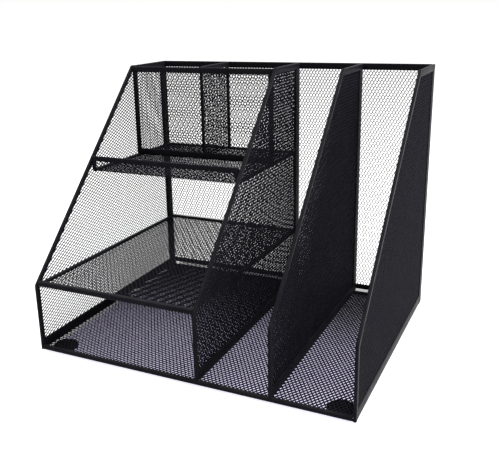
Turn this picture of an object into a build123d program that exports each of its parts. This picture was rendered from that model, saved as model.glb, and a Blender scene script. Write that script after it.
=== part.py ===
from build123d import *
import math
import os

# Mesh desk organizer: expanded steel sheets held in folded steel strips, on four rubber pads.
# Millimetres. X runs left to right, Y front to back, Z up. The origin is on the desk, under the
# middle of the organizer.

# Overall size
overall_width = 330
overall_depth = 270
overall_height = 271

# Uprights: two sides and two dividers
knee_height = 72.7
top_depth = 75.5
wide_bay_width = 175
middle_bay_width = 70

# Expanded sheet and the folded strips on its edges
sheet_thickness = 1.0
strip_wall = 0.7
slot_clearance = 0.3
fold_radius = 0.6
weld_gap = 0.1
rim_depth = 5
top_strip_height = 6.5
rear_strip_depth = 12
base_strip_height = 10

# Diamond openings, several times the pitch of the real mesh
diamond_width = 33
diamond_length = 48
strand_width = 2.6
bare_edge = 2
smallest_opening_share = 0.3

# Base and back
foot_drop = 2.5
base_rail_height = 4.2
base_rail_depth = 4
base_rear_rail_depth = 5
base_rear_gap = 3.2
back_top_rail_height = 7
back_bottom_rail_height = 5.5
back_lift = 4

# Shelf across the wide bay, falling a little towards the back
shelf_over_knee = 0.8
shelf_drop = 2
shelf_rail_height = 5
shelf_rail_depth = 5
shelf_rail_setback = 2
shelf_strip_depth = 5

# Tray over the shelf
tray_floor_height = 167.5
tray_lip_height = 15.5
tray_rim_height = 5.3
tray_post_depth = 4
tray_strip_depth = 5

# Pen cups at the back of the tray
cup_top_drop = 0.8
cup_top_rail_height = 6.4
cup_bottom_rail_height = 7
cup_post_depth = 5.2
cup_divider_top_height = 5.5
cup_divider_edge_depth = 4

# Rubber pads
foot_diameter = 25
foot_clearance = 0.5
foot_side_clearance = 2.5
foot_edge = 1

# Values that follow from the sizes above
strip_width = sheet_thickness + 2 * (slot_clearance + strip_wall)
sheet_inset = strip_wall + slot_clearance

front_y = -overall_depth / 2
rear_y = overall_depth / 2
back_front_y = rear_y - strip_width
base_z = foot_drop
top_z = overall_height

inner_x = overall_width / 2 - strip_width
bay_left = -inner_x
bay_right = bay_left + wide_bay_width
first_divider_x = bay_right + strip_width / 2
second_divider_x = first_divider_x + strip_width + middle_bay_width
side_x = overall_width / 2 - strip_width / 2

slant_top_y = rear_y - top_depth
slant_run = slant_top_y - front_y
slant_rise = top_z - knee_height
slant_length = math.hypot(slant_run, slant_rise)
half_knee = math.atan2(slant_run, slant_rise) / 2

base_sheet_z = base_z + strip_width / 2
base_rear_rail_y = back_front_y - base_rear_gap
back_foot = base_z + back_lift

os.makedirs("parts", exist_ok=True)


def save(name, piece):
    piece.label = name
    export_step(piece, f"parts/{name}.step")


# The slanted edge and the knee, moved square to the edge by an inset
def slant_y(height, inset):
    along = (height - knee_height) * slant_run / slant_rise
    return front_y + along + inset * slant_length / slant_rise


def knee_z(inset):
    return knee_height - inset * math.tan(half_knee)


# A flat sheet pierced by staggered diamonds, which its window trims
def pierced_sheet(name, plane, outline, window):
    side = math.hypot(diamond_width, diamond_length) / 2
    reach = diamond_width * diamond_length / (4 * side)
    half_width = diamond_width / 2 * (1 - strand_width / 2 / reach)
    half_length = diamond_length / 2 * (1 - strand_width / 2 / reach)
    corners = [(half_width, 0), (0, half_length), (-half_width, 0), (0, -half_length)]

    with BuildSketch() as frame:
        with BuildLine():
            Polyline(*window, close=True)
        make_face()
    box = frame.sketch.bounding_box()
    columns = math.ceil(box.size.X / diamond_width) + 1
    rows = math.ceil(box.size.Y / diamond_length) + 1
    middle = (box.center().X, box.center().Y)
    stagger = (middle[0] + diamond_width / 2, middle[1] + diamond_length / 2)

    with BuildSketch() as openings:
        with Locations(middle, stagger):
            with GridLocations(diamond_width, diamond_length, columns, rows):
                Polygon(*corners, align=None)
        add(frame.sketch, mode=Mode.INTERSECT)
    smallest = smallest_opening_share * 2 * half_width * half_length
    holes = [face.outer_wire() for face in openings.faces() if face.area > smallest]

    net = plane.offset(-sheet_thickness / 2) * Face(Wire.make_polygon(outline, close=True), holes)
    with BuildPart() as sheet:
        extrude(net, amount=sheet_thickness, dir=plane.z_dir, clean=False)
    save(name, sheet.part)


# Section of a strip folded round a sheet's edge: the web stands at the origin, the legs run along +X
def folded_section(depth, width):
    Rectangle(depth, width, align=(Align.MIN, Align.CENTER))
    fillet(vertices().group_by(Axis.X)[0], fold_radius)
    with Locations((strip_wall, 0)):
        Rectangle(depth, width - 2 * strip_wall, align=(Align.MIN, Align.CENTER), mode=Mode.SUBTRACT)


# A straight folded strip: its web starts at start, its legs point along legs, it runs along run
def folded_strip(name, start, legs, run, length, depth, width=strip_width, cut=None):
    with BuildPart() as strip:
        with BuildSketch(Plane(origin=start, x_dir=legs, z_dir=run)):
            folded_section(depth, width)
        extrude(amount=length)
        if cut is not None:
            split(bisect_by=cut, keep=Keep.TOP)
    save(name, strip.part)


TO_RIGHT = (1, 0, 0)
TO_LEFT = (-1, 0, 0)
TO_BACK = (0, 1, 0)
TO_FRONT = (0, -1, 0)
UP = (0, 0, 1)
DOWN = (0, 0, -1)


# Uprights: one pierced pentagon each, with a bent front rim and straight top, rear and base strips.
# The sides reach down beside the base. The dividers stand on it, notched over its front rail.
def upright(name, x, rear, post_foot, base_foot, rear_foot, base_start):
    base_end = rear - rear_strip_depth - weld_gap
    strip_top = top_z - top_strip_height
    sheet_foot = base_foot + sheet_inset
    sheet_top = top_z - sheet_inset
    sheet_front = front_y + sheet_inset
    sheet_outline = [
        (base_start, sheet_foot),
        (base_start, post_foot + sheet_inset),
        (sheet_front, post_foot + sheet_inset),
        (sheet_front, knee_z(sheet_inset)),
        (slant_y(sheet_top, sheet_inset), sheet_top),
        (rear - sheet_inset, sheet_top),
        (rear - sheet_inset, sheet_foot),
    ]
    window_foot = base_foot + base_strip_height
    window = [
        (front_y + rim_depth, window_foot),
        (front_y + rim_depth, knee_z(rim_depth)),
        (slant_y(strip_top, rim_depth), strip_top),
        (rear - rear_strip_depth, strip_top),
        (rear - rear_strip_depth, window_foot),
    ]
    pierced_sheet(f"{name}_mesh", Plane.YZ.offset(x), sheet_outline, window)

    with BuildPart() as front_rim:
        with BuildLine():
            above = top_z + rim_depth
            Polyline((x, front_y, post_foot), (x, front_y, knee_height), (x, slant_y(above, 0), above))
        with BuildSketch(Plane(origin=(x, front_y, post_foot), x_dir=TO_BACK, z_dir=UP)):
            folded_section(rim_depth, strip_width)
        sweep(transition=Transition.RIGHT)
        split(bisect_by=Plane.XY.offset(top_z), keep=Keep.BOTTOM)
    save(f"{name}_front_rim", front_rim.part)

    top_start = slant_y(strip_top, rim_depth + weld_gap)
    behind_rim = Plane(
        origin=(x, top_start, strip_top), x_dir=TO_RIGHT, z_dir=(0, slant_rise, -slant_run)
    )
    folded_strip(
        f"{name}_top_strip", (x, top_start, top_z), DOWN, TO_BACK,
        rear - top_start, top_strip_height, cut=behind_rim,
    )
    folded_strip(
        f"{name}_rear_strip", (x, rear, rear_foot), TO_FRONT, UP,
        strip_top - weld_gap - rear_foot, rear_strip_depth,
    )
    folded_strip(
        f"{name}_base_strip", (x, base_start, base_foot), UP, TO_BACK,
        base_end - base_start, base_strip_height,
    )


side_base_start = front_y + rim_depth + weld_gap
for name, x in (("left_side", -side_x), ("right_side", side_x)):
    upright(name, x, rear_y, base_z, base_z, base_z, side_base_start)

divider_post_foot = base_z + base_rail_height + weld_gap
divider_base_foot = base_sheet_z + sheet_thickness / 2 + weld_gap
divider_rear_foot = base_z + strip_width + weld_gap
divider_base_start = front_y + max(rim_depth, base_rail_depth) + weld_gap
for name, x in (("first_divider", first_divider_x), ("second_divider", second_divider_x)):
    upright(
        name, x, back_front_y - weld_gap, divider_post_foot, divider_base_foot,
        divider_rear_foot, divider_base_start,
    )


# A rectangle by its lowest and highest corners
def rectangle(low, high):
    return [low, (high[0], low[1]), high, (low[0], high[1])]


# Base: a sheet on the lower leg of the front rail, with a rear rail that stops short of the back
across = 2 * (inner_x - weld_gap)
start_x = weld_gap - inner_x
pierced_sheet(
    "base_mesh",
    Plane.XY.offset(base_sheet_z),
    rectangle((start_x, front_y + sheet_inset), (-start_x, base_rear_rail_y - sheet_inset)),
    rectangle(
        (start_x + bare_edge, front_y + base_rail_depth),
        (-start_x - bare_edge, base_rear_rail_y - base_rear_rail_depth),
    ),
)
folded_strip(
    "base_front_rail", (start_x, front_y, base_z + base_rail_height / 2), TO_BACK, TO_RIGHT,
    across, base_rail_depth, base_rail_height,
)
folded_strip(
    "base_rear_rail", (start_x, base_rear_rail_y, base_sheet_z), TO_FRONT, TO_RIGHT,
    across, base_rear_rail_depth,
)

# Back: a sheet between the sides, a little over the base, with a rail on its upper and its lower edge
back_sheet_y = rear_y - strip_width / 2
pierced_sheet(
    "back_mesh",
    Plane.XZ.offset(-back_sheet_y),
    rectangle((start_x, back_foot + sheet_inset), (-start_x, top_z - sheet_inset)),
    rectangle(
        (start_x + bare_edge, back_foot + back_bottom_rail_height),
        (-start_x - bare_edge, top_z - back_top_rail_height),
    ),
)
folded_strip(
    "back_top_rail", (start_x, back_sheet_y, top_z), DOWN, TO_RIGHT, across, back_top_rail_height
)
folded_strip(
    "back_bottom_rail", (start_x, back_sheet_y, back_foot), UP, TO_RIGHT, across, back_bottom_rail_height
)

# Shelf: a sheet in a frame of four strips, laid on a plane that falls towards the back
bay_start = bay_left + weld_gap
bay_end = bay_right - weld_gap
bay_length = bay_end - bay_start
shelf_run = back_front_y - weld_gap - front_y
shelf_front_height = knee_height + shelf_over_knee
shelf_plane = Plane(
    origin=(0, front_y, shelf_front_height), x_dir=TO_RIGHT, z_dir=(0, shelf_drop, shelf_run)
)
shelf_side_start = shelf_rail_setback + shelf_rail_depth + weld_gap
shelf_side_length = shelf_run - shelf_strip_depth - weld_gap - shelf_side_start
along_shelf = tuple(shelf_plane.y_dir)
pierced_sheet(
    "shelf_mesh",
    shelf_plane,
    rectangle(
        (bay_start + sheet_inset, shelf_rail_setback + sheet_inset),
        (bay_end - sheet_inset, shelf_run - sheet_inset),
    ),
    rectangle(
        (bay_start + shelf_strip_depth, shelf_rail_setback + shelf_rail_depth),
        (bay_end - shelf_strip_depth, shelf_run - shelf_strip_depth),
    ),
)
folded_strip(
    "shelf_front_rail", (bay_start, front_y + shelf_rail_setback, shelf_front_height),
    TO_BACK, TO_RIGHT, bay_length, shelf_rail_depth, shelf_rail_height,
)
folded_strip(
    "shelf_left_strip", shelf_plane.from_local_coords((bay_start, shelf_side_start, 0)),
    TO_RIGHT, along_shelf, shelf_side_length, shelf_strip_depth,
)
folded_strip(
    "shelf_right_strip", shelf_plane.from_local_coords((bay_end, shelf_side_start, 0)),
    TO_LEFT, along_shelf, shelf_side_length, shelf_strip_depth,
)
folded_strip(
    "shelf_rear_strip", shelf_plane.from_local_coords((bay_start, shelf_run, 0)),
    tuple(-shelf_plane.y_dir), TO_RIGHT, bay_length, shelf_strip_depth,
)

# Tray: a floor that folds up at the front into a low lip, whose rim meets the slanted edges, with
# strips on the other edges
lip_top = tray_floor_height + tray_lip_height
lip_y = slant_y(lip_top - tray_rim_height / 2, 0)
floor_top = tray_floor_height + sheet_thickness / 2
tray_strip_top = tray_floor_height + strip_width / 2
tray_rear = back_front_y - weld_gap
lip_foot = floor_top + weld_gap
rim_foot = lip_top - tray_rim_height
tray_side_start = lip_y + strip_width / 2 + weld_gap
tray_side_length = tray_rear - tray_strip_depth - weld_gap - tray_side_start
pierced_sheet(
    "tray_floor_mesh",
    Plane.XY.offset(tray_floor_height),
    rectangle(
        (bay_start + sheet_inset, lip_y - sheet_thickness / 2),
        (bay_end - sheet_inset, tray_rear - sheet_inset),
    ),
    rectangle(
        (bay_start + tray_strip_depth, lip_y + strip_width / 2),
        (bay_end - tray_strip_depth, tray_rear - tray_strip_depth),
    ),
)
pierced_sheet(
    "tray_lip_mesh",
    Plane.XZ.offset(-lip_y),
    rectangle((bay_start + sheet_inset, floor_top), (bay_end - sheet_inset, lip_top - sheet_inset)),
    rectangle((bay_start + tray_post_depth, lip_foot), (bay_end - tray_post_depth, rim_foot)),
)
folded_strip(
    "tray_lip_rim", (bay_start, lip_y, lip_top), DOWN, TO_RIGHT, bay_length, tray_rim_height
)
post_length = rim_foot - weld_gap - lip_foot
folded_strip(
    "tray_lip_left_post", (bay_start, lip_y, lip_foot), TO_RIGHT, UP, post_length, tray_post_depth
)
folded_strip(
    "tray_lip_right_post", (bay_end, lip_y, lip_foot), TO_LEFT, UP, post_length, tray_post_depth
)
folded_strip(
    "tray_left_strip", (bay_start, tray_side_start, tray_floor_height), TO_RIGHT, TO_BACK,
    tray_side_length, tray_strip_depth,
)
folded_strip(
    "tray_right_strip", (bay_end, tray_side_start, tray_floor_height), TO_LEFT, TO_BACK,
    tray_side_length, tray_strip_depth,
)
folded_strip(
    "tray_rear_strip", (bay_start, tray_rear, tray_floor_height), TO_FRONT, TO_RIGHT,
    bay_length, tray_strip_depth,
)

# Pen cups: a framed front that stands on the tray, just under the top of the slanted edges
cup_y = slant_top_y
cup_foot = tray_strip_top + weld_gap
cup_top = top_z - cup_top_drop
cup_post_top = cup_top - cup_top_rail_height - weld_gap
pierced_sheet(
    "pen_cup_front_mesh",
    Plane.XZ.offset(-cup_y),
    rectangle(
        (bay_start + sheet_inset, lip_foot + sheet_inset), (bay_end - sheet_inset, cup_top - sheet_inset)
    ),
    rectangle(
        (bay_start + cup_post_depth, lip_foot + cup_bottom_rail_height),
        (bay_end - cup_post_depth, cup_top - cup_top_rail_height),
    ),
)
folded_strip(
    "pen_cup_top_rail", (bay_start, cup_y, cup_top), DOWN, TO_RIGHT, bay_length, cup_top_rail_height
)
post_reach = max(cup_post_depth, tray_strip_depth) + weld_gap
folded_strip(
    "pen_cup_bottom_rail", (bay_start + post_reach, cup_y, lip_foot), UP, TO_RIGHT,
    bay_length - 2 * post_reach, cup_bottom_rail_height,
)
folded_strip(
    "pen_cup_left_post", (bay_start, cup_y, cup_foot), TO_RIGHT, UP,
    cup_post_top - cup_foot, cup_post_depth,
)
folded_strip(
    "pen_cup_right_post", (bay_end, cup_y, cup_foot), TO_LEFT, UP,
    cup_post_top - cup_foot, cup_post_depth,
)

# The sheet between the two cups, with strips on its top, front and rear edges
cup_divider_x = (bay_left + bay_right) / 2
cup_divider_front = cup_y + strip_width / 2 + weld_gap
cup_edge_length = top_z - cup_divider_top_height - weld_gap - cup_foot
pierced_sheet(
    "pen_cup_divider_mesh",
    Plane.YZ.offset(cup_divider_x),
    rectangle(
        (cup_divider_front + sheet_inset, cup_foot), (tray_rear - sheet_inset, top_z - sheet_inset)
    ),
    rectangle(
        (cup_divider_front + cup_divider_edge_depth, cup_foot + bare_edge),
        (tray_rear - cup_divider_edge_depth, top_z - cup_divider_top_height),
    ),
)
folded_strip(
    "pen_cup_divider_top_strip", (cup_divider_x, cup_divider_front, top_z), DOWN, TO_BACK,
    tray_rear - cup_divider_front, cup_divider_top_height,
)
folded_strip(
    "pen_cup_divider_front_strip", (cup_divider_x, cup_divider_front, cup_foot), TO_BACK, UP,
    cup_edge_length, cup_divider_edge_depth,
)
folded_strip(
    "pen_cup_divider_rear_strip", (cup_divider_x, tray_rear, cup_foot), TO_FRONT, UP,
    cup_edge_length, cup_divider_edge_depth,
)

# Rubber pads under the corners of the base sheet
foot_height = base_sheet_z - sheet_thickness / 2 - weld_gap
foot_radius = foot_diameter / 2
foot_x = inner_x - foot_side_clearance - foot_radius
front_foot_y = front_y + base_rail_depth + foot_clearance + foot_radius
rear_foot_y = base_rear_rail_y - base_rear_rail_depth - foot_clearance - foot_radius
for name, x, y in (
    ("front_left_foot", -foot_x, front_foot_y),
    ("front_right_foot", foot_x, front_foot_y),
    ("rear_left_foot", -foot_x, rear_foot_y),
    ("rear_right_foot", foot_x, rear_foot_y),
):
    with BuildPart() as foot:
        with BuildSketch(Plane(origin=(x, y, 0), x_dir=TO_RIGHT, z_dir=TO_FRONT)):
            Rectangle(foot_radius, foot_height, align=Align.MIN)
            outer_low = vertices().group_by(Axis.X)[-1].sort_by(Axis.Y)[0]
            chamfer(outer_low, foot_edge)
        revolve(axis=Axis((x, y, 0), UP))
    save(name, foot.part)
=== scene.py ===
# %% [markdown]
# # A mesh desk organizer
# The organizer is black powder-coated steel: flat sheets of fine expanded mesh, held at their
# edges in narrow folded strips and spot-welded into bays, a shelf, a tray and two pen cups. The
# CAD model gives every piece its place and size. Here each piece gets the form and finish that the
# eye meets: the real, fine mesh, round-nosed folds with crimped legs, a satin coat and rubber
# pads.

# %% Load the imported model
import math

import bmesh
import bpy
from mathutils import Matrix, Vector
from mathutils.geometry import convex_hull_2d


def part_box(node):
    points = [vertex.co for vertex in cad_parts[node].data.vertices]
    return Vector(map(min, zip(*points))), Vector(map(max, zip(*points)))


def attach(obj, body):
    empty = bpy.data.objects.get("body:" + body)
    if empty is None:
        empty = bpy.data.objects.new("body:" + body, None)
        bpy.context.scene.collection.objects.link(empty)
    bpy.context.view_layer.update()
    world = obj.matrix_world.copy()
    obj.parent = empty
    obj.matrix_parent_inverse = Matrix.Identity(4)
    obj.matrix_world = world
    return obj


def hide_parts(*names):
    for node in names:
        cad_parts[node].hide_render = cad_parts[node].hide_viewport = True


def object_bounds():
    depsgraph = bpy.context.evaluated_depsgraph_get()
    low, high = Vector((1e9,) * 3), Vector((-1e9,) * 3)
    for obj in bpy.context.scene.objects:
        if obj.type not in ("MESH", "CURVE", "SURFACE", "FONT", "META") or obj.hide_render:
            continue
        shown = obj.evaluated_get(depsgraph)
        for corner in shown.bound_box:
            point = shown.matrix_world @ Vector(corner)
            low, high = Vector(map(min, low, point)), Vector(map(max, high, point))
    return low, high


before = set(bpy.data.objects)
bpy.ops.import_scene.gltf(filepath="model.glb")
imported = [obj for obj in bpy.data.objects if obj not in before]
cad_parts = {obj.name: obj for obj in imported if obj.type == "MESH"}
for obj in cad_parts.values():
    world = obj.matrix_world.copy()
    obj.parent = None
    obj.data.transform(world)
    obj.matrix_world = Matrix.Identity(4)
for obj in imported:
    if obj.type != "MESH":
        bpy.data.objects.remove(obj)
cad_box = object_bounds()
mm = 0.001


def in_mm(box):
    """Both corners of a box in millimetres, for printing."""
    return [tuple(round(c / mm, 1) for c in corner) for corner in box]


print("CAD box, mm:", in_mm(cad_box))

# %% [markdown]
# ## Camera
# The camera stands in front of the organizer, to its right and a little above it. It could be set
# by eye, but then the edges never quite meet those of the photograph. So its place, turn and focal
# length were fitted to corners of the photograph, in pixels of a 500 by 463 frame. The picture was
# cropped off centre, which a lens shift repeats.

# %% The photograph's camera
photo_width, photo_height = 500, 463
focal_px = 692.0
centre_px = (231.5, 219.0)
camera_place = Vector((293.7, -623.5, 332.2)) * mm
camera_yaw, camera_pitch, camera_roll = (math.radians(a) for a in (26.024, 16.986, -1.3715))

camera_data = bpy.data.cameras.new("photo_camera")
camera_data.sensor_fit = "HORIZONTAL"
camera_data.lens = focal_px / photo_width * camera_data.sensor_width
camera_data.shift_x = (photo_width / 2 - centre_px[0]) / photo_width
camera_data.shift_y = (centre_px[1] - photo_height / 2) / photo_width
camera = bpy.data.objects.new("photo_camera", camera_data)
camera.matrix_world = (
    Matrix.Translation(camera_place)
    @ Matrix.Rotation(camera_yaw, 4, "Z")
    @ Matrix.Rotation(math.pi / 2 - camera_pitch, 4, "X")
    @ Matrix.Rotation(camera_roll, 4, "Z")
)
scene = bpy.context.scene
scene.collection.objects.link(camera)
scene.camera = camera
scene.view_settings.view_transform = "Standard"
print("lens, mm:", round(camera_data.lens, 2))

# %% [markdown]
# ## Node helpers
# Every material below is a small graph of nodes. It could be drawn by hand in the shader editor.
# In a script, helpers that add a node with its settings and open a group with named sockets let
# the finishes read like recipes.


# %% Helpers that add nodes
def add_node(tree, kind, values=None, **settings):
    """Adds a node, sets its properties, and fills input sockets by name or number."""
    node = tree.nodes.new(kind)
    for name, value in settings.items():
        setattr(node, name, value)
    for name, value in (values or {}).items():
        if isinstance(value, bpy.types.NodeSocket):
            tree.links.new(value, node.inputs[name])
        else:
            node.inputs[name].default_value = value
    return node


def new_group(name, inputs, outputs):
    """A shader node group with float or colour sockets: {socket name: default}."""
    group = bpy.data.node_groups.new(name, "ShaderNodeTree")
    for side, sockets in (("INPUT", inputs), ("OUTPUT", outputs)):
        for socket_name, value in sockets.items():
            kind = "NodeSocketColor" if isinstance(value, tuple) else "NodeSocketFloat"
            socket = group.interface.new_socket(socket_name, in_out=side, socket_type=kind)
            if side == "INPUT":
                socket.default_value = value
    given = group.nodes.new("NodeGroupInput").outputs
    out = group.nodes.new("NodeGroupOutput").inputs
    return group, given, out


print("helpers:", add_node.__name__, new_group.__name__)

# %% [markdown]
# ### Sums with nodes
# Four kinds of sum come back in most recipes: mapping a range on to another, joining two values,
# joining vectors and mixing two colours. Each gets a helper that returns the socket of its result.

# %% Helpers that calculate
range_sockets = ("From Min", "From Max", "To Min", "To Max")
mix_first_color, mix_second_color, mixed_color = 6, 7, 2


def remap(tree, value, source, target=(0.0, 1.0), **settings):
    """Maps a value from the source range to the target range."""
    values = {"Value": value, **dict(zip(range_sockets, source + target))}
    return add_node(tree, "ShaderNodeMapRange", values, **settings).outputs["Result"]


def calculate(tree, operation, first, second):
    """Joins two values in a Math node."""
    values = {0: first, 1: second}
    return add_node(tree, "ShaderNodeMath", values, operation=operation).outputs[0]


def vector_sum(tree, operation, *vectors, result="Vector"):
    """Joins vectors in a Vector Math node."""
    values = dict(enumerate(vectors))
    return add_node(tree, "ShaderNodeVectorMath", values, operation=operation).outputs[result]


def mix_colors(tree, factor, first, second):
    """The first colour at factor 0, the second at factor 1."""
    values = {"Factor": factor, mix_first_color: first, mix_second_color: second}
    return add_node(tree, "ShaderNodeMix", values, data_type="RGBA").outputs[mixed_color]


print("helpers:", [f.__name__ for f in (remap, calculate, vector_sum, mix_colors)])

# %% [markdown]
# ## Powder coat
# Powder coat is baked on as fine grains that melt into a skin with a slight orange peel. It is
# satin, and it differs a little from place to place: thicker here, rubbed smoother there, with a
# breath of dust on faces that look up. Pictures of paint would need unwrapped meshes. One group
# that makes all of that from noises at real sizes needs none, and fits every piece.

# %% The powder coat group
clouds_per_metre = 45.0
dust_slope = (0.35, 1.0)
dust_clouds, dust_patches = (0.35, 0.7), (0.3, 1.0)
coat_clouds, coat_shades = (0.3, 0.7), (0.8, 1.2)
uneven_roughness = (-0.06, 0.06)


def make_powder_coat():
    """A group that gives the coat's colour, roughness and height at each place."""
    group, given, out = new_group(
        "powder_coat",
        {
            "Coat Color": (0.02, 0.02, 0.024, 1.0),
            "Dust Color": (0.25, 0.24, 0.26, 1.0),
            "Dust": 0.05,
            "Roughness": 0.5,
            "Grain per metre": 1400.0,
        },
        {"Color": (0.0, 0.0, 0.0, 1.0), "Roughness": 0.5, "Height": 0.0},
    )
    place = add_node(group, "ShaderNodeTexCoord").outputs["Object"]
    grain = add_node(
        group, "ShaderNodeTexNoise",
        {"Vector": place, "Scale": given["Grain per metre"], "Detail": 2.0, "Roughness": 0.6},
    ).outputs["Fac"]
    cloud = add_node(
        group, "ShaderNodeTexNoise",
        {"Vector": place, "Scale": clouds_per_metre, "Detail": 3.0, "Roughness": 0.55},
    ).outputs["Fac"]

    normal = add_node(group, "ShaderNodeNewGeometry").outputs["Normal"]
    facing_up = add_node(group, "ShaderNodeSeparateXYZ", {0: normal}).outputs["Z"]
    settled = remap(group, facing_up, dust_slope)
    patches = remap(group, cloud, dust_clouds, dust_patches)
    dusty = calculate(group, "MULTIPLY", settled, patches)
    dust = calculate(group, "MULTIPLY", dusty, given["Dust"])

    shade = remap(group, cloud, coat_clouds, coat_shades)
    coat = add_node(
        group, "ShaderNodeVectorMath", {0: given["Coat Color"], "Scale": shade}, operation="SCALE"
    ).outputs["Vector"]
    uneven = remap(group, cloud, coat_clouds, uneven_roughness)

    group.links.new(mix_colors(group, dust, coat, given["Dust Color"]), out["Color"])
    group.links.new(calculate(group, "ADD", given["Roughness"], uneven), out["Roughness"])
    group.links.new(grain, out["Height"])
    return group


powder_coat = make_powder_coat()
print("nodes in the powder coat:", len(powder_coat.nodes))

# %% [markdown]
# ### Three finishes
# The folded strips, the mesh and the rubber of the pads take the same group with values of their
# own. The strips are a little smoother than the mesh. The rubber is dull and has a finer grain.

# %% Materials
sheen_tint = (0.8, 0.84, 1.0, 1.0)


def coated(name, values, specular, bump, bump_height):
    """A material of the powder coat group with its own values."""
    material = bpy.data.materials.new(name)
    material.use_nodes = True
    tree = material.node_tree
    shader = tree.nodes["Principled BSDF"]
    coat = add_node(tree, "ShaderNodeGroup", values, node_tree=powder_coat).outputs
    relief = add_node(
        tree, "ShaderNodeBump",
        {"Strength": bump, "Distance": bump_height, "Height": coat["Height"]},
    )
    tree.links.new(coat["Color"], shader.inputs["Base Color"])
    tree.links.new(coat["Roughness"], shader.inputs["Roughness"])
    tree.links.new(relief.outputs["Normal"], shader.inputs["Normal"])
    shader.inputs["Specular IOR Level"].default_value = specular
    shader.inputs["Specular Tint"].default_value = sheen_tint
    return material


strip_coat = coated(
    "strip_coat",
    {"Coat Color": (0.014, 0.014, 0.0175, 1.0), "Dust": 0.07, "Roughness": 0.42},
    specular=0.025, bump=0.25, bump_height=0.05 * mm,
)
mesh_coat = coated(
    "mesh_coat",
    {"Coat Color": (0.016, 0.0153, 0.0215, 1.0), "Dust": 0.03, "Roughness": 0.45},
    specular=0.02, bump=0.2, bump_height=0.04 * mm,
)
pad_rubber = coated(
    "pad_rubber",
    {
        "Coat Color": (0.006, 0.006, 0.006, 1.0),
        "Dust": 0.01,
        "Roughness": 0.8,
        "Grain per metre": 2600.0,
    },
    specular=0.05, bump=0.4, bump_height=0.08 * mm,
)
print("materials:", [m.name for m in (strip_coat, mesh_coat, pad_rubber)])

# %% [markdown]
# ## Placing a piece
# Each new piece stands for one CAD node. It takes the material given to it and rides on the one
# body, since nothing on the organizer moves. One helper does this for every piece, so that none is
# left out.


def settle(shape, node, name, material):
    """Turns a finished bmesh into the object that stands for a CAD node."""
    mesh = bpy.data.meshes.new(name)
    shape.to_mesh(mesh)
    shape.free()
    mesh.materials.append(material)
    piece = bpy.data.objects.new(name, mesh)
    scene.collection.objects.link(piece)
    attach(piece, "root")
    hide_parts(node)
    return piece


# %% [markdown]
# ## Folded strips
# Every free edge of the mesh is gripped by a strip folded round it: a round nose, two legs, and
# the legs' ends crimped on to the mesh. A bevelled box would miss the nose and the crimp, so the
# strip's true section is drawn first.

# %% The section of a strip
strip_wall = 0.7 * mm
nose_radius = 1.25 * mm
crimp_length = 1.1 * mm
crimp_depth = 0.3 * mm
nose_steps = 5
quarter_turn = [math.pi / 2 * i / nose_steps for i in range(nose_steps + 1)]


def strip_section(depth, width):
    """Points (along the legs, across the sheet) of the closed section, outside first."""
    half = width / 2
    radius = min(nose_radius, half)
    nose = [
        (radius - radius * math.sin(a), -half + radius - radius * math.cos(a))
        for a in quarter_turn
    ]
    outside = [(depth, crimp_depth - half), (depth - crimp_length, -half)] + nose
    inner = half - strip_wall
    inside = [(depth, crimp_depth - inner), (depth - crimp_length, -inner), (strip_wall, -inner)]

    def whole(lower_half):
        return lower_half + [(u, -v) for u, v in reversed(lower_half)]

    return whole(outside) + whole(inside)[::-1]


print("wall and nose of a strip, mm:", round(strip_wall / mm, 2), round(nose_radius / mm, 2))

# %% [markdown]
# ### Sweeping the section
# A curve with a bevel object could sweep the section too, but it gives no say over the cut of its
# ends. Here a ring of points is set at each point of the path, turned to halve the corner there,
# and the rings are joined by faces. A path corner, as at the knee of an upright, is a small bend.

# %% Sweep a strip along its edge
bend_steps = 6
smooth_below = math.radians(32)


def rounded_path(points, radius):
    """The points with every inner corner replaced by an arc of that radius."""
    path = [points[0]]
    for before, corner, after in zip(points, points[1:], points[2:]):
        come, go = (before - corner).normalized(), (after - corner).normalized()
        half = come.angle(go) / 2
        centre = corner + (come + go).normalized() * radius / math.sin(half)
        spoke = corner + come * radius / math.tan(half) - centre
        turn = math.pi - 2 * half
        axis = come.cross(go)
        path += [
            centre + Matrix.Rotation(-turn * i / bend_steps, 3, axis) @ spoke
            for i in range(bend_steps + 1)
        ]
    return path + [points[-1]]


def swept_strip(path, legs, depth, width, start_cut=None, end_cut=None):
    """Sweeps the section along a flat path. legs is where the legs point at its start."""
    runs = [(b - a).normalized() for a, b in zip(path, path[1:])]
    across = legs.cross(runs[0]).normalized()
    inward = [run.cross(across) for run in runs]
    sides = [start_cut or inward[0]]
    sides += [(a + b) / (1 + a.dot(b)) for a, b in zip(inward, inward[1:])]
    sides += [end_cut or inward[-1]]
    sides[0] = sides[0] / sides[0].dot(inward[0])
    sides[-1] = sides[-1] / sides[-1].dot(inward[-1])

    section = strip_section(depth, width)
    shape = bmesh.new()
    rings = [
        [shape.verts.new(point + side * u + across * v) for u, v in section]
        for point, side in zip(path, sides)
    ]
    count = len(section)
    for ring, following in zip(rings, rings[1:]):
        for i in range(count):
            j = (i + 1) % count
            shape.faces.new((ring[i], ring[j], following[j], following[i]))
    shape.faces.new(rings[0])
    shape.faces.new(rings[-1])
    bmesh.ops.recalc_face_normals(shape, faces=shape.faces)
    return shape


def settle_strip(shape, node):
    """Turns a swept strip into its piece, smooth round the nose and sharp at the edges."""
    strip = settle(shape, node, f"{node}_fold", strip_coat)
    strip.data.shade_smooth()
    strip.data.set_sharp_from_angle(angle=smooth_below)


print("steps in a bend:", bend_steps)

# %% [markdown]
# ### Straight strips
# Most edges are straight. Such a strip could be measured and typed in, but its CAD box already
# says how long, deep and wide it is. It needs only one more fact: which way its legs point.

# %% Straight strips
right, back, up = Vector((1, 0, 0)), Vector((0, 1, 0)), Vector((0, 0, 1))
uprights = ("left_side", "first_divider", "second_divider", "right_side")


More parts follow.
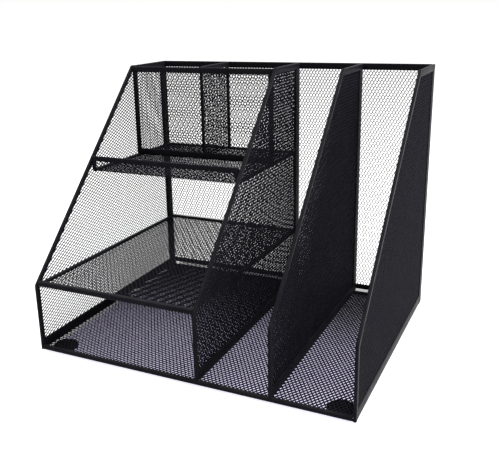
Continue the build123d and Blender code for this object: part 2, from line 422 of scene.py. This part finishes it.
def box_strip(node, legs):
    """A straight strip that fills its CAD node's box."""
    low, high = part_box(node)
    leg_axis = max(range(3), key=lambda i: abs(legs[i]))
    run_axis = max((i for i in range(3) if i != leg_axis), key=lambda i: high[i] - low[i])
    width_axis = 3 - leg_axis - run_axis
    start = (low + high) / 2
    start[leg_axis] = low[leg_axis] if legs[leg_axis] > 0 else high[leg_axis]
    end = start.copy()
    start[run_axis], end[run_axis] = low[run_axis], high[run_axis]
    depth, width = high[leg_axis] - low[leg_axis], high[width_axis] - low[width_axis]
    settle_strip(swept_strip([start, end], legs, depth, width), node)


straight = {
    "base_front_rail": back, "base_rear_rail": -back,
    "back_top_rail": -up, "back_bottom_rail": up,
    "shelf_front_rail": back, "shelf_rear_strip": -back,
    "tray_lip_rim": -up, "tray_lip_left_post": right, "tray_lip_right_post": -right,
    "tray_left_strip": right, "tray_right_strip": -right, "tray_rear_strip": -back,
    "pen_cup_top_rail": -up, "pen_cup_bottom_rail": up,
    "pen_cup_left_post": right, "pen_cup_right_post": -right,
    "pen_cup_divider_top_strip": -up,
    "pen_cup_divider_front_strip": back, "pen_cup_divider_rear_strip": -back,
}
for node, legs in straight.items():
    box_strip(node, legs)
for upright in uprights:
    box_strip(f"{upright}_rear_strip", -back)
    box_strip(f"{upright}_base_strip", up)
print("straight strips:", len(straight) + 2 * len(uprights))

# %% [markdown]
# ### Rims of the uprights
# One strip goes round the front post and the slanted edge of each upright, bent at the knee. Two
# straight strips would leave a seam there that the real, bent strip doesn't have. Its upper end is
# cut level with the top, and the top strip begins along it, cut to the same slant.

# %% Front rims and top strips
knee_radius = 6 * mm
touching = 0.01 * mm


def rim_points(node):
    """The corners of an upright's front edge: foot, knee and top, and the rim's depth and width."""
    low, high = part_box(node)
    points = [v.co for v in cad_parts[node].data.vertices]
    middle = (low.x + high.x) / 2
    knee = max(p.z for p in points if p.y < low.y + touching)
    top = min(p.y for p in points if p.z > high.z - touching)
    depth = max(p.y for p in points if p.z < low.z + touching) - low.y
    corners = [
        Vector((middle, low.y, low.z)),
        Vector((middle, low.y, knee)),
        Vector((middle, top, high.z)),
    ]
    return corners, depth, high.x - low.x


left_corners = rim_points("left_side_front_rim")[0]
slant = (left_corners[2] - left_corners[1]).normalized()
for upright in uprights:
    corners, depth, rim_width = rim_points(f"{upright}_front_rim")
    path = rounded_path(corners, knee_radius)
    rim = swept_strip(path, back, depth, rim_width, end_cut=back)
    settle_strip(rim, f"{upright}_front_rim")

    low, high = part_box(f"{upright}_top_strip")
    height = high.z - low.z
    start = Vector(((low.x + high.x) / 2, low.y + height * slant.y / slant.z, high.z))
    end = Vector((start.x, high.y, high.z))
    top_strip = swept_strip([start, end], -up, height, rim_width, start_cut=-slant)
    settle_strip(top_strip, f"{upright}_top_strip")
print("slant of the uprights, degrees:", round(math.degrees(slant.angle(up)), 1))

# %% [markdown]
# ### Shelf sides
# The shelf falls a little towards the back, so its two side strips run down along it. Their boxes
# are taller than the strips, so the strips take the width of the rims and go from corner to
# corner.

# %% Side strips of the shelf
for node, legs in (("shelf_left_strip", right), ("shelf_right_strip", -right)):
    low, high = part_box(node)
    nose = low.x if legs.x > 0 else high.x
    start = Vector((nose, low.y, high.z - rim_width / 2))
    end = Vector((nose, high.y, low.z + rim_width / 2))
    settle_strip(swept_strip([start, end], legs, high.x - low.x, rim_width), node)
shelf_run = (end - start).normalized()
print("fall of the shelf, degrees:", round(math.degrees(shelf_run.angle(back)), 2))

# %% [markdown]
# ## Expanded mesh
# The sheet is slit in staggered rows and pulled, which opens each slit into a diamond. Its strands
# are left slightly tilted and meet in longer bonds. An image with holes would do from afar, but
# the holes, the tilt and the thickness decide how much shows through at each angle, so the mesh is
# real. It starts as a turned grid of diamonds, cut to the outline of the CAD sheet.

# %% The outline of a sheet, and its diamonds
diamond_width = 3.6 * mm
diamond_length = 6.4 * mm
spare_cells = 2
cut_tolerance = 0.01 * mm


def sheet_outline(node, across, along):
    """Outline of a CAD sheet as points in its plane, counter-clockwise, and the plane's level."""
    normal = across.cross(along)
    points = [v.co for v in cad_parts[node].data.vertices]
    flat = [Vector((p.dot(across), p.dot(along))) for p in points]
    levels = [p.dot(normal) for p in points]
    return [flat[i] for i in convex_hull_2d(flat)], (min(levels) + max(levels)) / 2


def edge_lines(outline):
    """A point and the outward direction of every edge of the outline."""
    lines = []
    for a, b in zip(outline, outline[1:] + outline[:1]):
        edge = (b - a).normalized()
        lines.append((a.to_3d(), Vector((edge.y, -edge.x, 0))))
    return lines


def diamond_grid(outline, diamond_width):
    """A turned grid of diamonds, cut to the outline."""
    xs, ys = [p.x for p in outline], [p.y for p in outline]
    middle = Vector(((min(xs) + max(xs)) / 2, (min(ys) + max(ys)) / 2, 0))
    columns = (max(xs) - min(xs)) / diamond_width
    rows = (max(ys) - min(ys)) / diamond_length
    cells = math.ceil(columns + rows) + spare_cells
    half_diagonal = math.sqrt(0.5)
    net = bmesh.new()
    place = (
        Matrix.Translation(middle)
        @ Matrix.Diagonal((diamond_width * half_diagonal, diamond_length * half_diagonal, 1, 1))
        @ Matrix.Rotation(math.pi / 4, 4, "Z")
    )
    bmesh.ops.create_grid(net, x_segments=cells, y_segments=cells, size=cells / 2, matrix=place)
    for point, outward in edge_lines(outline):
        bmesh.ops.bisect_plane(
            net, geom=net.verts[:] + net.edges[:] + net.faces[:], dist=cut_tolerance,
            plane_co=point, plane_no=outward, clear_outer=True,
        )
    return net


print("diamond, mm:", round(diamond_width / mm, 2), "by", round(diamond_length / mm, 2))

# %% [markdown]
# ### From diamonds to strands
# A hole is each diamond drawn in towards its middle, a little more at its long ends, where the
# bonds between the strands are. What is left of the sheet are the strands. A wireframe modifier
# would make strands too, but all alike, without bonds and without tilt.

# %% Cut the holes
strand = 0.3 * mm
bond_share = 0.9
tilt = 0.1 * mm
least_hole_share = 0.15


def open_holes(net, strand, bond_share, whole, side):
    """Cuts a hole in every diamond that is large enough. whole is its area, side its edge."""
    holes = [face for face in net.faces if face.calc_area() > least_hole_share * whole]
    bmesh.ops.inset_individual(net, faces=holes, thickness=0)
    for hole in holes:
        middle = hole.calc_center_median()
        open_share = 1 - strand * side / whole * math.sqrt(whole / hole.calc_area())
        for vert in hole.verts:
            reach = (vert.co - middle) * open_share
            reach.y *= bond_share
            reach.z = tilt * reach.y / (diamond_length / 2)
            vert.co = middle + reach
    bmesh.ops.delete(net, geom=holes, context="FACES_ONLY")
    return len(holes)


print("strand, mm:", round(strand / mm, 2))

# %% [markdown]
# ### Gauge, lean and bow
# The net then gets its thickness. Its strands lean, as the stretching of the sheet leaves them, so
# a sheet looks open from one side and closed from another. A thin sheet also never stays flat: a
# slight bow grows from its held edges towards the middle. Both are worked out point by point, as
# the net is carried from its plane to its place, which spares a modifier for each.

# %% Make a sheet of mesh
gauge = 1.05 * mm
bow_margin = 12 * mm
bow_reach = 30 * mm


def mesh_sheet(
    node, across, along, lean, bow=0.0, strand=strand, bond_share=bond_share, gauge=gauge,
    diamond_width=diamond_width,
):
    """A net in the place of a CAD sheet. Its diamonds' long way and its strands' lean go along."""
    outline, level = sheet_outline(node, across, along)
    net = diamond_grid(outline, diamond_width)
    whole = diamond_width * diamond_length / 2
    side = math.hypot(diamond_width, diamond_length) / 2
    holes = open_holes(net, strand, bond_share, whole, side)

    sheet = net.faces[:]
    bmesh.ops.recalc_face_normals(net, faces=sheet)
    bmesh.ops.solidify(net, geom=sheet, thickness=gauge)
    depths = [vert.co.z for vert in net.verts]
    normal = across.cross(along)
    raise_by = level - (min(depths) + max(depths)) / 2
    lines = edge_lines(outline)
    for vert in net.verts:
        x, y, z = vert.co
        rise = bow
        for point, outward in lines:
            inside = max(0.0, (point - vert.co).dot(outward) - bow_margin)
            rise *= 1 - math.exp(-inside / bow_reach)
        vert.co = across * x + along * (y + lean * z) + normal * (z + raise_by + rise)
    bmesh.ops.recalc_face_normals(net, faces=net.faces)
    piece = settle(net, node, f"{node}_net", mesh_coat)
    piece.data.shade_smooth()
    triangles = sum(len(p.vertices) - 2 for p in piece.data.polygons)
    print(node, "holes", holes, "triangles", triangles)


print("gauge of the mesh, mm:", round(gauge / mm, 2))

# %% [markdown]
# ### The sheets
# The diamonds stand upright in the back, the right side and the dividers. They run front to back
# in the left side and the floors, and lie across in the tray lip and the front of the pen cups.
# The base and the shelf are wider meshes. The two large dividers bulge a little to the right. A
# sheet's own strand, gauge and lean set how much light it lets through, and were matched to the
# photograph.

# %% All sheets
base_diamond_width = 4.05 * mm
shelf_diamond_width = 4.8 * mm
fine_strand = 0.16 * mm

mesh_sheet("left_side_mesh", -up, back, lean=-0.2)
mesh_sheet("first_divider_mesh", back, up, lean=0.3, bow=6 * mm, gauge=0.88 * mm)
mesh_sheet("second_divider_mesh", back, up, lean=0.3, bow=4 * mm, gauge=0.95 * mm)
mesh_sheet("right_side_mesh", back, up, lean=0.3)
mesh_sheet("back_mesh", right, up, lean=0.3, strand=fine_strand, bond_share=0.8)
mesh_sheet(
    "base_mesh", right, back, lean=0.4, strand=0.5 * mm, diamond_width=base_diamond_width
)
mesh_sheet(
    "shelf_mesh", right, shelf_run, lean=0.4, gauge=0.7 * mm, diamond_width=shelf_diamond_width
)
mesh_sheet("tray_floor_mesh", right, back, lean=0.4, gauge=0.6 * mm)
mesh_sheet("tray_lip_mesh", -up, right, lean=0.35, strand=0.45 * mm, gauge=1.0 * mm)
mesh_sheet(
    "pen_cup_front_mesh", -up, right, lean=0.35, strand=fine_strand, bond_share=0.76,
    gauge=0.35 * mm,
)
mesh_sheet("pen_cup_divider_mesh", back, up, lean=0.3, gauge=0.62 * mm)

# %% [markdown]
# ## Pads
# The rubber pads are round, with a soft lower edge and a shallow dish underneath. A cylinder with
# a bevel would lack the dish, so half the section is drawn and spun.

# %% Rubber pads
pad_edge = 1.0 * mm
pad_dish = 0.35 * mm
dish_share, ring_share = 0.55, 0.7
pad_sides = 64
merge_within = 0.001 * mm


def rubber_pad(node):
    """A spun pad that fills its CAD node's box."""
    low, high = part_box(node)
    middle = (low + high) / 2
    radius, height = (high.x - low.x) / 2, high.z - low.z
    profile = [(0, pad_dish), (radius * dish_share, pad_dish), (radius * ring_share, 0)]
    profile += [
        (radius - pad_edge + pad_edge * math.sin(a), pad_edge - pad_edge * math.cos(a))
        for a in quarter_turn
    ]
    profile += [(radius, height - pad_edge / 2), (radius - pad_edge / 2, height), (0, height)]
    shape = bmesh.new()
    line = [shape.verts.new((middle.x + r, middle.y, low.z + z)) for r, z in profile]
    edges = [shape.edges.new(pair) for pair in zip(line, line[1:])]
    bmesh.ops.spin(
        shape, geom=line + edges, cent=(middle.x, middle.y, 0), axis=up, angle=2 * math.pi,
        steps=pad_sides, use_merge=True,
    )
    bmesh.ops.remove_doubles(shape, verts=shape.verts, dist=merge_within)
    bmesh.ops.recalc_face_normals(shape, faces=shape.faces)
    pad = settle(shape, node, f"{node}_pad", pad_rubber)
    pad.data.shade_smooth()
    pad.data.set_sharp_from_angle(angle=smooth_below)


pads = [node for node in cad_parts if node.endswith("_foot")]
for node in pads:
    rubber_pad(node)
print("pads:", len(pads))

# %% [markdown]
# ## Studio floor
# The photograph has a white ground. More light would whiten the floor, but the organizer too. So
# the floor is a pale sheet that takes the light of the lamps, and it also glows, but only for the
# camera, reflections and clear materials. Its glow is white but under the organizer and just behind
# it, where the glow is a painted shadow, lavender in front and dark at the back.

# %% The floor's material
white = (1.0, 1.0, 1.0, 1.0)
floor_white = 0.86
floor_roughness = 0.9
floor_specular = 0.1
# Colours of the painted shadow in the floor's glow: lavender in front, dark at the back.
shadow_front = (0.62, 0.575, 0.83, 1.0)
shadow_rear = (0.05, 0.05, 0.06, 1.0)
shadow_turn = (-40 * mm, 100 * mm)
shadow_reach = 8 * mm
shadow_behind = 24 * mm


def seen_directly(tree):
    """1 for camera, glossy and transmission rays, 0 for the rest."""
    path = add_node(tree, "ShaderNodeLightPath").outputs
    either = calculate(tree, "MAXIMUM", path["Is Camera Ray"], path["Is Glossy Ray"])
    return calculate(tree, "MAXIMUM", either, path["Is Transmission Ray"])


def make_ground():
    """White all round, with a painted shadow in a soft-edged box under the organizer and behind it.
    """
    material = bpy.data.materials.new("ground")
    material.use_nodes = True
    tree = material.node_tree
    middle = (0, shadow_behind / 2, 0)
    half = (cad_box[1].x - shadow_reach, cad_box[1].y + shadow_behind / 2 - shadow_reach, 0)
    place = add_node(tree, "ShaderNodeTexCoord").outputs["Object"]
    offset = vector_sum(tree, "ABSOLUTE", vector_sum(tree, "SUBTRACT", place, middle))
    outside = vector_sum(tree, "MAXIMUM", vector_sum(tree, "SUBTRACT", offset, half), (0, 0, 0))
    away = vector_sum(tree, "LENGTH", outside, result="Value")
    clear = remap(tree, away, (0.0, shadow_reach), interpolation_type="SMOOTHSTEP")
    depth = add_node(tree, "ShaderNodeSeparateXYZ", {0: place}).outputs["Y"]
    inwards = remap(tree, depth, shadow_turn, interpolation_type="SMOOTHSTEP")
    # The painted shadow's colour, from lavender in front to dark towards the back.
    shade = mix_colors(tree, inwards, shadow_front, shadow_rear)

    shader = tree.nodes["Principled BSDF"]
    shader.inputs["Base Color"].default_value = (floor_white, floor_white, floor_white, 1.0)
    shader.inputs["Roughness"].default_value = floor_roughness
    shader.inputs["Specular IOR Level"].default_value = floor_specular
    tree.links.new(mix_colors(tree, clear, shade, white), shader.inputs["Emission Color"])
    tree.links.new(seen_directly(tree), shader.inputs["Emission Strength"])
    return material


ground = make_ground()
print("nodes in the ground:", len(ground.node_tree.nodes))

# %% [markdown]
# ### The sheet itself
# The floor is one large face at the height of the pads' lower faces. A curved backdrop would do as
# well, but the glow already hides the line where the floor ends.

# %% The floor
half_floor = 30.0
floor_corners = [
    (-half_floor, -half_floor, 0), (half_floor, -half_floor, 0),
    (half_floor, half_floor, 0), (-half_floor, half_floor, 0),
]
floor_mesh = bpy.data.meshes.new("floor")
floor_mesh.from_pydata(floor_corners, [], [(0, 1, 2, 3)])
floor_mesh.materials.append(ground)
floor = bpy.data.objects.new("floor", floor_mesh)
scene.collection.objects.link(floor)
print("floor, m:", 2 * half_floor)

# %% [markdown]
# ## Light
# The photograph's light is soft, mostly from the right and above. A picture of a studio could
# light the scene, but two large area lamps are enough and easier to read. The world is white where
# it is seen, and adds only a little light of its own.

# %% World and lamps
ambient = 0.12
organizer_middle = (cad_box[0] + cad_box[1]) / 2

world = bpy.data.worlds.new("studio")
scene.world = world
world.use_nodes = True
world_tree = world.node_tree
surroundings = world_tree.nodes["Background"]
surroundings.inputs["Color"].default_value = white
strength = remap(world_tree, seen_directly(world_tree), (0.0, 1.0), (ambient, 1.0))
world_tree.links.new(strength, surroundings.inputs["Strength"])


def soft_lamp(name, place, size, watts):
    """A square area lamp that looks at the organizer."""
    lamp = bpy.data.lights.new(name, "AREA")
    lamp.size = size
    lamp.energy = watts
    holder = bpy.data.objects.new(name, lamp)
    holder.location = place
    holder.rotation_euler = (organizer_middle - Vector(place)).to_track_quat("-Z", "Y").to_euler()
    scene.collection.objects.link(holder)


soft_lamp("key", place=(1.7, 0.2, 1.2), size=1.2, watts=28)
soft_lamp("top", place=(0.0, -0.2, 2.0), size=1.6, watts=26)
